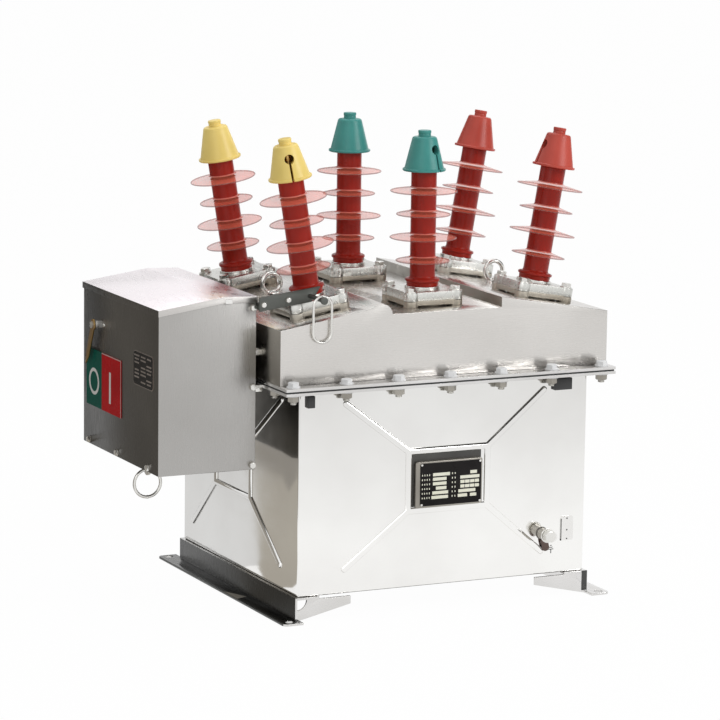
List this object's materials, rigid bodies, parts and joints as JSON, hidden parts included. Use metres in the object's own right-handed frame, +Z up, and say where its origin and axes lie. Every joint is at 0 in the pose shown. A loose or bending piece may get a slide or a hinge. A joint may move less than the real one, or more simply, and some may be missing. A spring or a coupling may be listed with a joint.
{
  "type": "outdoor circuit breaker",
  "caption": "Outdoor box-type medium-voltage circuit breaker: sealed steel tank on feet, sloping cover with ribbed bushings, and a side mechanism box.",
  "frame": {"origin": "on the ground under the middle of the tank, at the centre of the foot bolt pattern", "axes": "+X along the tank away from the mechanism box, +Y to the rear, +Z up"},
  "size_m": [0.8483, 0.5748, 0.832],
  "materials": {
    "tank": "mirror-polished stainless sheet",
    "cover": "brushed stainless sheet",
    "flange": "machined stainless plate",
    "base": "bent stainless sheet",
    "box": "brushed stainless sheet",
    "gasket": "black rubber",
    "casting": "sand-cast alloy with machined top",
    "silicone": "glossy red-brown silicone rubber",
    "cap_yellow": "yellow silicone rubber",
    "cap_green": "green silicone rubber",
    "cap_red": "red silicone rubber",
    "zinc": "bright zinc-plated steel",
    "brass": "worn brass",
    "status_green": "gloss green enamel",
    "status_red": "gloss red enamel",
    "plate_black": "black enamel with pale fields",
    "tag": "thin bright plate",
    "pad": "dark rubber",
    "strap": "grey steel strap"
  },
  "bodies": {
    "breaker": {"base_member_left": "base", "base_member_right": "base", "tank_shell": "tank", "tank_flange": "flange", "gasket": "gasket", "cover_flange": "flange", "cover_shell": "cover", "flange_bolts": "zinc", "clamp_left_front": "casting", "clamp_left_rear": "casting", "clamp_centre_front": "casting", "clamp_centre_rear": "casting", "clamp_right_front": "casting", "clamp_right_rear": "casting", "bushing_left_front": "silicone", "bushing_left_rear": "silicone", "bushing_centre_front": "silicone", "bushing_centre_rear": "silicone", "bushing_right_front": "silicone", "bushing_right_rear": "silicone", "cap_left_front": "cap_yellow", "cap_left_rear": "cap_yellow", "cap_centre_front": "cap_green", "cap_centre_rear": "cap_green", "cap_right_front": "cap_red", "cap_right_rear": "cap_red", "mechanism_box": "box", "mechanism_lid": "box", "box_spacers": "zinc", "status_plate_open": "status_green", "status_plate_closed": "status_red", "pointer_pin": "zinc", "rating_plate": "plate_black", "plate_block": "plate_black", "small_tag": "tag", "earth_boss": "zinc", "flange_pads": "pad", "lifting_eye_left": "zinc", "lifting_eye_right": "zinc", "hanger_strap": "strap", "pull_ear": "zinc"},
    "pointer": {"pointer": "brass"},
    "pull_ring": {"pull_ring": "zinc"},
    "hanging_link": {"hanging_link": "zinc"}
  },
  "joints": [
    {"name": "pointer_turn", "type": "hinge", "parent": "breaker", "child": "pointer", "pos_m": [-0.522, 0.094, 0.48], "axis": [1, 0, 0], "range_deg": [-60, 0]},
    {"name": "ring_swing", "type": "hinge", "parent": "breaker", "child": "pull_ring", "pos_m": [-0.47, -0.03, 0.242], "axis": [1, 0, 0], "range_deg": [-60, 60]},
    {"name": "link_swing", "type": "hinge", "parent": "breaker", "child": "hanging_link", "pos_m": [-0.2435, -0.26225, 0.56013], "axis": [0, 1, 0], "range_deg": [-40, 40]}
  ]
}
